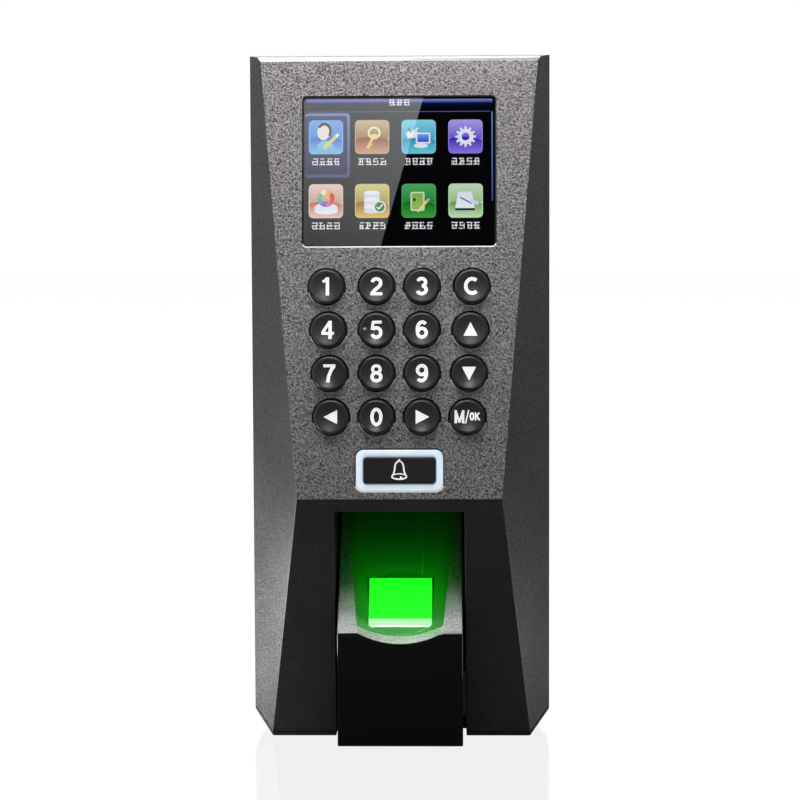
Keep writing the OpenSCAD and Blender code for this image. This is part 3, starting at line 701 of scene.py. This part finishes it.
def box_points(x, y, w, h, r=0.0):
    if not r:
        return [(x, y), (x, y + h), (x + w, y + h), (x + w, y)]
    return [(x + w / 2 + p.x, y + h / 2 - p.y) for p in rounded(w, h, r, 0, 5)]


def disc(x, y, r, n=24, squash=1.0):
    return [(x + p.x, y - p.y * squash) for p in circle(r, 0, n)]


def ring(x, y, r_out, r_in, color, layer, start=0, end=360, squash=1.0, n=24):
    """Part of a ring, as short quads."""
    for i in range(n):
        a, b = (math.radians(start + (end - start) * k / n) for k in (i, i + 1))
        patch([(x + r * math.cos(t), y - r * math.sin(t) * squash)
               for r, t in ((r_in, a), (r_out, a), (r_out, b), (r_in, b))], color, layer)


def bar(x0, y0, x1, y1, w, color, layer):
    d = Vector((x1 - x0, y1 - y0)).normalized() * (w / 2)
    patch([(x0 - d.y, y0 + d.x), (x1 - d.y, y1 + d.x), (x1 + d.y, y1 - d.x), (x0 + d.y, y0 - d.x)],
          color, layer)


WHITE = srgb(250, 252, 255)
BLACK = (0.0008, 0.0008, 0.0012)
patch(box_points(0, 0, PICTURE_W, PICTURE_H + 0.8, 0.5), BLACK, 0)
# title bar
patch(box_points(0.3, 0.3, PICTURE_W - 0.6, 0.7, 0.2), srgb(150, 160, 205), 1, srgb(110, 128, 190))
patch(box_points(0.3, 1.0, PICTURE_W - 0.6, 0.65), srgb(104, 122, 182), 1, srgb(34, 52, 124))
patch(box_points(0.3, 1.65, PICTURE_W - 0.6, 1.3), srgb(14, 22, 70), 1, srgb(3, 4, 14))
patch(box_points(0.6, 3.95, PICTURE_W - 1.6, 0.18), srgb(86, 100, 160), 1)
# scroll bar
patch(box_points(PICTURE_W - 0.6, 4.1, 0.32, 24.0), srgb(120, 140, 210), 2, srgb(70, 90, 170))
# chosen cell
patch(box_points(0.0, 4.4, 12.0, 17.3, 0.9), srgb(124, 140, 190), 1, srgb(72, 84, 130))
patch(box_points(0.0, 5.1, 11.3, 15.8, 0.7), srgb(58, 66, 104), 2, srgb(40, 46, 78))


STROKE = 0.24                # mm, how thick a word's bars are


def words(x, y, count, cell=1.75, height=1.8):
    """Stands for a word: small tangles of bars that say nothing."""
    for i in range(count):
        left = x + i * (cell + 0.2)
        for k, drop in enumerate((0.0, 0.5, 1.0)):
            w = cell * random.uniform(0.55, 1.0)
            shift = (cell - w) * random.random()
            patch(box_points(left + shift, y + drop * (height - STROKE), w, STROKE), WHITE, 3)
        for k in range(2):
            stem = left + cell * (0.12 + 0.5 * k + 0.2 * random.random())
            tall = height * random.uniform(0.45, 1.0)
            top = y + (height - tall) * random.choice((0, 1))
            patch(box_points(stem, top, STROKE, tall), WHITE, 4)
        if random.random() < 0.5:
            bar(left + cell * 0.5, y + height * 0.5, left + cell * random.choice((0.05, 0.95)),
                y + height, 0.22, WHITE, 5)


words(22.4, 0.75, 3, 1.75, 1.6)

TILE = 9.15                          # mm, side of a button
COLUMNS = [1.05, 13.35, 25.75, 38.2]
ROWS = [6.25, 23.45]


def tile(col, row, top, mid, low, bottom):
    """A glossy button: a lighter upper half over a deeper lower half that glows at its foot."""
    x, y = COLUMNS[col], ROWS[row]
    patch(box_points(x, y, TILE, TILE, 1.2), top, 3, bottom)
    patch(box_points(x + 0.25, y + 0.25, TILE - 0.5, TILE * 0.55, 1.0), top, 4, mid)
    wave = [(x + 0.25 + (TILE - 0.5) * k / 12,
             y + TILE * (0.56 + 0.05 * math.cos(math.pi * (k / 12 * 1.2 + 0.5))))
            for k in range(13)]
    half = box_points(x + 0.25, y + TILE * 0.55, TILE - 0.5, TILE * 0.45 - 0.25, 1.0)
    low_edge = [p for p in half if p[1] > y + TILE * 0.8]
    patch(sorted(low_edge) + list(reversed(wave)), low, 5, bottom)
    words(x + 0.75, y + TILE + 1.15, 4)
    return x, y


x, y = tile(0, 0, srgb(128, 178, 240), srgb(92, 146, 228), srgb(60, 112, 206), srgb(140, 200, 252))
patch([(x + 2.0, y + 8.9), (x + 2.4, y + 6.6), (x + 3.4, y + 5.7), (x + 5.3, y + 5.6),
       (x + 6.4, y + 6.6), (x + 6.9, y + 8.9)], srgb(150, 214, 236), 6, srgb(120, 190, 228))
patch(disc(x + 3.9, y + 3.3, 1.65, squash=1.25), srgb(246, 238, 226), 7)
ring(x + 4.15, y + 3.0, 1.95, 1.3, srgb(72, 66, 60), 8, -40, 150, 1.2)
bar(x + 3.9, y + 7.7, x + 7.6, y + 4.1, 0.8, srgb(250, 222, 96), 9)
bar(x + 7.3, y + 4.4, x + 7.9, y + 3.8, 0.8, srgb(250, 250, 250), 10)

x, y = tile(1, 0, srgb(212, 190, 150), srgb(158, 128, 66), srgb(150, 70, 34), srgb(216, 170, 134))
ring(x + 5.1, y + 3.5, 1.75, 1.15, srgb(250, 238, 196), 7)
patch(disc(x + 5.1, y + 4.5, 1.25, squash=0.6), srgb(246, 226, 150), 8)
bar(x + 4.7, y + 5.0, x + 3.3, y + 7.6, 0.75, srgb(240, 214, 130), 8)
bar(x + 3.9, y + 6.5, x + 4.6, y + 6.9, 0.4, srgb(240, 214, 130), 9)
bar(x + 3.5, y + 7.2, x + 4.1, y + 7.5, 0.4, srgb(240, 214, 130), 9)

x, y = tile(2, 0, srgb(140, 220, 236), srgb(66, 174, 204), srgb(20, 140, 180), srgb(110, 214, 232))
patch(disc(x + 2.9, y + 3.9, 1.7, squash=0.62), srgb(240, 248, 250), 7)
bar(x + 1.6, y + 5.0, x + 4.4, y + 2.2, 0.5, srgb(250, 252, 255), 8)
bar(x + 2.6, y + 3.4, x + 1.7, y + 2.2, 0.3, srgb(70, 84, 96), 8)
patch(box_points(x + 3.8, y + 3.5, 3.9, 2.9, 0.25), WHITE, 9)
patch(box_points(x + 4.2, y + 3.9, 3.1, 2.1), srgb(120, 170, 250), 10, srgb(40, 70, 230))
patch(disc(x + 5.2, y + 7.0, 1.9, squash=0.32), srgb(244, 248, 250), 9)

x, y = tile(3, 0, srgb(178, 164, 240), srgb(104, 84, 214), srgb(44, 18, 176), srgb(142, 122, 238))
ring(x + 4.6, y + 4.6, 2.1, 1.05, srgb(242, 246, 255), 7)
for k in range(12):
    a = math.tau * k / 12
    bar(x + 4.6 + 1.9 * math.cos(a), y + 4.6 + 1.9 * math.sin(a), x + 4.6 + 2.75 * math.cos(a),
        y + 4.6 + 2.75 * math.sin(a), 0.6, srgb(236, 242, 255), 8)

x, y = tile(0, 1, srgb(240, 214, 204), srgb(216, 168, 128), srgb(196, 96, 50), srgb(246, 206, 190))
patch(disc(x + 4.6, y + 6.4, 3.1, squash=0.42), srgb(244, 246, 248), 7)
patch(box_points(x + 1.5, y + 6.3, 6.2, 1.1), srgb(226, 232, 238), 7, srgb(250, 250, 250))
patch(disc(x + 4.6, y + 7.3, 3.1, squash=0.28), srgb(250, 250, 252), 7)
WHEEL = [(230, 60, 50), (250, 190, 70), (246, 240, 220), (120, 200, 150), (70, 190, 200),
         (130, 120, 220), (220, 120, 200), (240, 90, 60)]
for k, color in enumerate(WHEEL):
    ring(x + 4.6, y + 3.9, 2.3, 1.15, srgb(*color), 9, k * 45, k * 45 + 45, n=6)

x, y = tile(1, 1, srgb(226, 214, 136), srgb(176, 158, 60), srgb(142, 92, 18), srgb(238, 200, 100))
for k in range(3):
    top = y + 2.4 + 1.85 * k
    patch(box_points(x + 2.4, top, 4.2, 1.35), srgb(196, 206, 222), 7 + k, srgb(238, 242, 248))
    patch(disc(x + 4.5, top, 2.1, squash=0.3), srgb(246, 248, 252), 8 + k)
    patch(disc(x + 4.5, top + 1.35, 2.1, squash=0.24), srgb(220, 226, 236), 7 + k)
patch(disc(x + 6.6, y + 6.2, 1.65), srgb(240, 246, 240), 12)
patch(disc(x + 6.6, y + 6.2, 1.3), srgb(44, 138, 50), 13)
bar(x + 5.8, y + 6.2, x + 6.4, y + 6.8, 0.35, WHITE, 14)
bar(x + 6.3, y + 6.8, x + 7.4, y + 5.5, 0.35, WHITE, 15)

x, y = tile(2, 1, srgb(84, 176, 100), srgb(34, 138, 50), srgb(12, 108, 24), srgb(70, 168, 70))
patch(box_points(x + 2.4, y + 2.2, 3.7, 5.1, 0.5), srgb(226, 240, 206), 7)
patch(box_points(x + 2.75, y + 2.55, 3.0, 4.4, 0.3), srgb(136, 186, 86), 8, srgb(160, 200, 96))
patch(disc(x + 3.4, y + 4.3, 0.42), srgb(30, 90, 30), 9)
bar(x + 4.3, y + 7.5, x + 6.9, y + 4.5, 0.65, srgb(250, 226, 140), 10)
bar(x + 6.7, y + 4.8, x + 7.3, y + 4.1, 0.65, srgb(230, 150, 210), 11)

x, y = tile(3, 1, srgb(208, 230, 194), srgb(158, 202, 128), srgb(82, 158, 44), srgb(208, 238, 190))
patch([(x + 2.6, y + 2.2), (x + 1.8, y + 6.6), (x + 7.0, y + 6.6), (x + 6.2, y + 2.2)],
      srgb(236, 240, 250), 7, srgb(250, 252, 255))
patch(box_points(x + 1.8, y + 6.6, 5.2, 0.6), srgb(60, 66, 90), 8, srgb(26, 30, 44))
bar(x + 3.1, y + 3.7, x + 6.3, y + 5.4, 0.4, srgb(96, 130, 190), 9)
bar(x + 5.9, y + 4.7, x + 8.0, y + 5.4, 1.0, srgb(214, 226, 246), 10)

piece("screen_picture", picture, [picture_light()], "terminal", PANEL)

# ---------------------------------------------------------------- the rest of the CAD nodes

FINISH = {
    "wall_plate": ZINC, "window_tape": FOAM, "lcd_panel": INNER_BLACK, "lcd_holder": INNER_BLACK,
    "lcd_screws": SCREW, "keypad_membrane": SILICONE, "keypad_board": BOARD,
    "keypad_screws": SCREW, "sensor_light_board": BOARD, "sensor_camera": EPOXY,
    "reader_base": INNER_BLACK, "reader_screws": SCREW, "main_board": BOARD,
    "board_screws": SCREW, "processor_chips": EPOXY, "lock_relay": RELAY,
    "backup_battery": NICKEL, "buzzer": EPOXY, "wiring_connectors": NYLON, "speaker": INNER_BLACK,
    "usb_port": TIN, "usb_cover": RUBBER, "tamper_switch": EPOXY, "tamper_plunger": NYLON,
    "case_screws": SCREW, "lock_screw": SCREW, "lcd_ribbon": AMBER, "keypad_ribbon": GREY_FILM,
    "ribbon_sockets": NYLON, "reader_cable": VINYL, "screen_window": window_glass(),
}
SOFTENED = ("wall_plate", "usb_cover", "wiring_connectors", "lock_relay", "case_screws",
            "lock_screw", "tamper_plunger", "usb_port", "ribbon_sockets")

for node, finish in FINISH.items():
    ob = frame["nodes"][node]
    ob.data.materials.clear()
    ob.data.materials.append(finish)
    if node in SOFTENED:
        weld = ob.modifiers.new("weld", "WELD")
        weld.merge_threshold = WELD_DISTANCE
        soften = ob.modifiers.new("soften", "BEVEL")
        soften.width = 0.12 * MM
        soften.segments = 2
        soften.limit_method = "ANGLE"
        soften.angle_limit = math.radians(35)
        soften.harden_normals = True

# ---------------------------------------------------------------- stage, lights and camera

FLOOR_HALF = 8               # m
FLOOR_GAP = 0.2 * MM
FLOOR_MIRROR = 0.14          # how much of the floor, as seen, is reflection


def stage_floor():
    """A pale floor: it looks white with a faint reflection, and mirrors see it dark."""
    bm = bmesh.new()
    bmesh.ops.create_grid(bm, x_segments=1, y_segments=1, size=FLOOR_HALF)
    mesh = bpy.data.meshes.new("floor")
    bm.to_mesh(mesh)
    bm.free()
    ob = bpy.data.objects.new("floor", mesh)
    ob.location.z = cad_box[0].z - FLOOR_GAP
    bpy.context.scene.collection.objects.link(ob)
    mat = bpy.data.materials.new("floor")
    mat.use_nodes = True
    nodes, links = mat.node_tree.nodes, mat.node_tree.links
    bsdf = nodes["Principled BSDF"]
    bsdf.inputs["Base Color"].default_value = (0.75, 0.75, 0.75, 1)
    bsdf.inputs["Roughness"].default_value = 0.6
    glow = nodes.new("ShaderNodeEmission")
    mirror = nodes.new("ShaderNodeBsdfGlossy")
    mirror.inputs["Roughness"].default_value = 0.08
    mirror.inputs["Color"].default_value = (1, 1, 1, 1)
    seen = nodes.new("ShaderNodeMixShader")
    seen.inputs["Fac"].default_value = FLOOR_MIRROR
    links.new(glow.outputs["Emission"], seen.inputs[1])
    links.new(mirror.outputs["BSDF"], seen.inputs[2])
    shade = nodes.new("ShaderNodeEmission")
    shade.inputs["Strength"].default_value = 0.03
    path = nodes.new("ShaderNodeLightPath")
    direct = nodes.new("ShaderNodeMixShader")
    links.new(path.outputs["Is Camera Ray"], direct.inputs["Fac"])
    links.new(bsdf.outputs["BSDF"], direct.inputs[1])
    links.new(seen.outputs["Shader"], direct.inputs[2])
    mix = nodes.new("ShaderNodeMixShader")
    links.new(path.outputs["Is Glossy Ray"], mix.inputs["Fac"])
    links.new(direct.outputs["Shader"], mix.inputs[1])
    links.new(shade.outputs["Emission"], mix.inputs[2])
    links.new(mix.outputs["Shader"], nodes["Material Output"].inputs["Surface"])
    mesh.materials.append(mat)


def aimed(where, aim):
    """Place of a light at one point that shines towards another."""
    turn = (Vector(aim) - Vector(where)).to_track_quat("-Z", "Y")
    return Matrix.Translation(where) @ turn.to_matrix().to_4x4()


def area(name, where, aim, size, power, roll=0.0):
    data = bpy.data.lights.new(name, "AREA")
    data.shape = "RECTANGLE"
    data.size, data.size_y = size
    data.energy = power
    ob = bpy.data.objects.new(name, data)
    ob.matrix_world = aimed(where, aim) @ Matrix.Rotation(math.radians(roll), 4, "Z")
    ob.visible_camera = False
    bpy.context.scene.collection.objects.link(ob)
    return ob


def fade_card(ob):
    """Makes a light card glow less towards one end."""
    ob.data.use_nodes = True
    nodes, links = ob.data.node_tree.nodes, ob.data.node_tree.links
    place = nodes.new("ShaderNodeNewGeometry").outputs["Parametric"]
    split = nodes.new("ShaderNodeSeparateXYZ")
    links.new(place, split.inputs["Vector"])
    fade = nodes.new("ShaderNodeMapRange")
    fade.inputs["To Min"].default_value = 0.03
    fade.inputs["To Max"].default_value = 1.3
    links.new(split.outputs["Y"], fade.inputs["Value"])
    links.new(fade.outputs["Result"], nodes["Emission"].inputs["Strength"])


stage_floor()
for name, where, aim, size, power in (
        ("top", (0.0, -0.30, 0.55), (0, 0, 0.05), (0.45, 0.3), 0.45),
        ("near_top", (-0.02, -0.10, 0.22), (0, -0.03, 0.06), (0.22, 0.08), 0.42),
        ("left_low", (-0.11, -0.035, -0.07), (-0.036, -0.02, -0.08), (0.03, 0.03), 0.108),
        ("right_low", (0.11, -0.035, -0.08), (0.036, -0.02, -0.085), (0.03, 0.03), 0.02),
        ("left", (-0.8, -0.1, 0.05), (0, 0, 0), (0.25, 0.5), 0.9),
        ("right", (0.8, -0.1, -0.15), (0, 0, -0.03), (0.25, 0.4), 0.35),
        ("back", (0.1, 0.9, 0.5), (0, 0, 0), (0.8, 0.6), 4.0)):
    area(name, where, aim, size, power)
# The card that the window mirrors.
card = area("window_card", (-0.073, -0.72, 0.285), tuple(screen), (0.11, 0.17), 0.042, roll=-14.5)
fade_card(card)

beam = bpy.data.lights.new("front_beam", "SPOT")
beam.energy = 8.0
beam.spot_size = math.radians(10)
beam.spot_blend = 1.0
beam.shadow_soft_size = 0.07
beam_object = bpy.data.objects.new("front_beam", beam)
beam_object.matrix_world = aimed((0, -0.75, 0.45), (0.004, -0.03, 0.053))
beam_object.visible_camera = False
bpy.context.scene.collection.objects.link(beam_object)

# The reader's own glow, and a strip of light along its lip, fall on the reader only.
glow = bpy.data.lights.new("reader_glow", "POINT")
glow.energy = 0.027
glow.color = (0.008, 1.0, 0.01)
glow.shadow_soft_size = 3 * MM
glow_object = bpy.data.objects.new("reader_glow", glow)
glow_object.location = (glass_low + glass_high) / 2 + REST * 10 * MM
glow_object.visible_camera = False
bpy.context.scene.collection.objects.link(glow_object)
strip_object = area("lip_strip", lip + Vector((0, -0.006, 0.05)), lip, (0.05, 0.002), 0.0055)
strip_object.data.spread = math.radians(13)
reader_only = bpy.data.collections.new("reader_only")
reader_only.objects.link(reader_skin)
for light in (glow_object, strip_object):
    light.visible_glossy = False
    light.light_linking.receiver_collection = reader_only
strip_object.light_linking.blocker_collection = reader_only
all_but_reader = bpy.data.collections.new("all_but_reader")
all_but_reader.objects.link(reader_skin)
all_but_reader.collection_objects[0].light_linking.link_state = "EXCLUDE"
beam_object.light_linking.receiver_collection = all_but_reader

world = bpy.data.worlds.new("studio")
bpy.context.scene.world = world
world.use_nodes = True
nodes, links = world.node_tree.nodes, world.node_tree.links
dim = nodes["Background"]
dim.inputs["Color"].default_value = (0.9, 0.95, 1.0, 1)
bright = nodes.new("ShaderNodeBackground")
bright.inputs["Color"].default_value = (1, 1, 1, 1)
path = nodes.new("ShaderNodeLightPath")
# The window, the only perfect mirror, faces a black room.
room = nodes.new("ShaderNodeMapRange")
room.inputs["To Min"].default_value = 0.11
room.inputs["To Max"].default_value = 0.0
links.new(path.outputs["Is Singular Ray"], room.inputs["Value"])
links.new(room.outputs["Result"], dim.inputs["Strength"])
# Other mirrors see the white backdrop behind the object and the dark room in front of it.
facing = nodes.new("ShaderNodeSeparateXYZ")
links.new(nodes.new("ShaderNodeTexCoord").outputs["Generated"], facing.inputs["Vector"])
behind = nodes.new("ShaderNodeMapRange")
behind.inputs["From Min"].default_value = 0.55
behind.inputs["From Max"].default_value = 0.8
links.new(facing.outputs["Y"], behind.inputs["Value"])
mirrored = nodes.new("ShaderNodeMath")
mirrored.operation = "MULTIPLY"
links.new(behind.outputs["Result"], mirrored.inputs[0])
links.new(path.outputs["Is Glossy Ray"], mirrored.inputs[1])
either = nodes.new("ShaderNodeMath")
either.operation = "MAXIMUM"
links.new(mirrored.outputs["Value"], either.inputs[0])
links.new(path.outputs["Is Camera Ray"], either.inputs[1])
mix = nodes.new("ShaderNodeMixShader")
links.new(either.outputs["Value"], mix.inputs["Fac"])
links.new(dim.outputs["Background"], mix.inputs[1])
links.new(bright.outputs["Background"], mix.inputs[2])
links.new(mix.outputs["Shader"], nodes["World Output"].inputs["Surface"])

camera_data = bpy.data.cameras.new("camera")
camera_data.lens = 99.8      # mm, fitted to the photograph with the place and angles below
camera = bpy.data.objects.new("camera", camera_data)
yaw, pitch, roll = (math.radians(a) for a in (1.33, -4.09, 0.237))
turn = Matrix.Rotation(yaw, 3, "Z") @ Matrix.Rotation(pitch, 3, "X") @ Matrix.Rotation(roll, 3, "Y")
axes = Matrix((turn.col[0], turn.col[2], -turn.col[1])).transposed().to_4x4()
camera.matrix_world = Matrix.Translation((0.0137, -0.620, 0.0417)) @ axes
bpy.context.scene.collection.objects.link(camera)
bpy.context.scene.camera = camera
bpy.context.scene.view_settings.view_transform = "Standard"
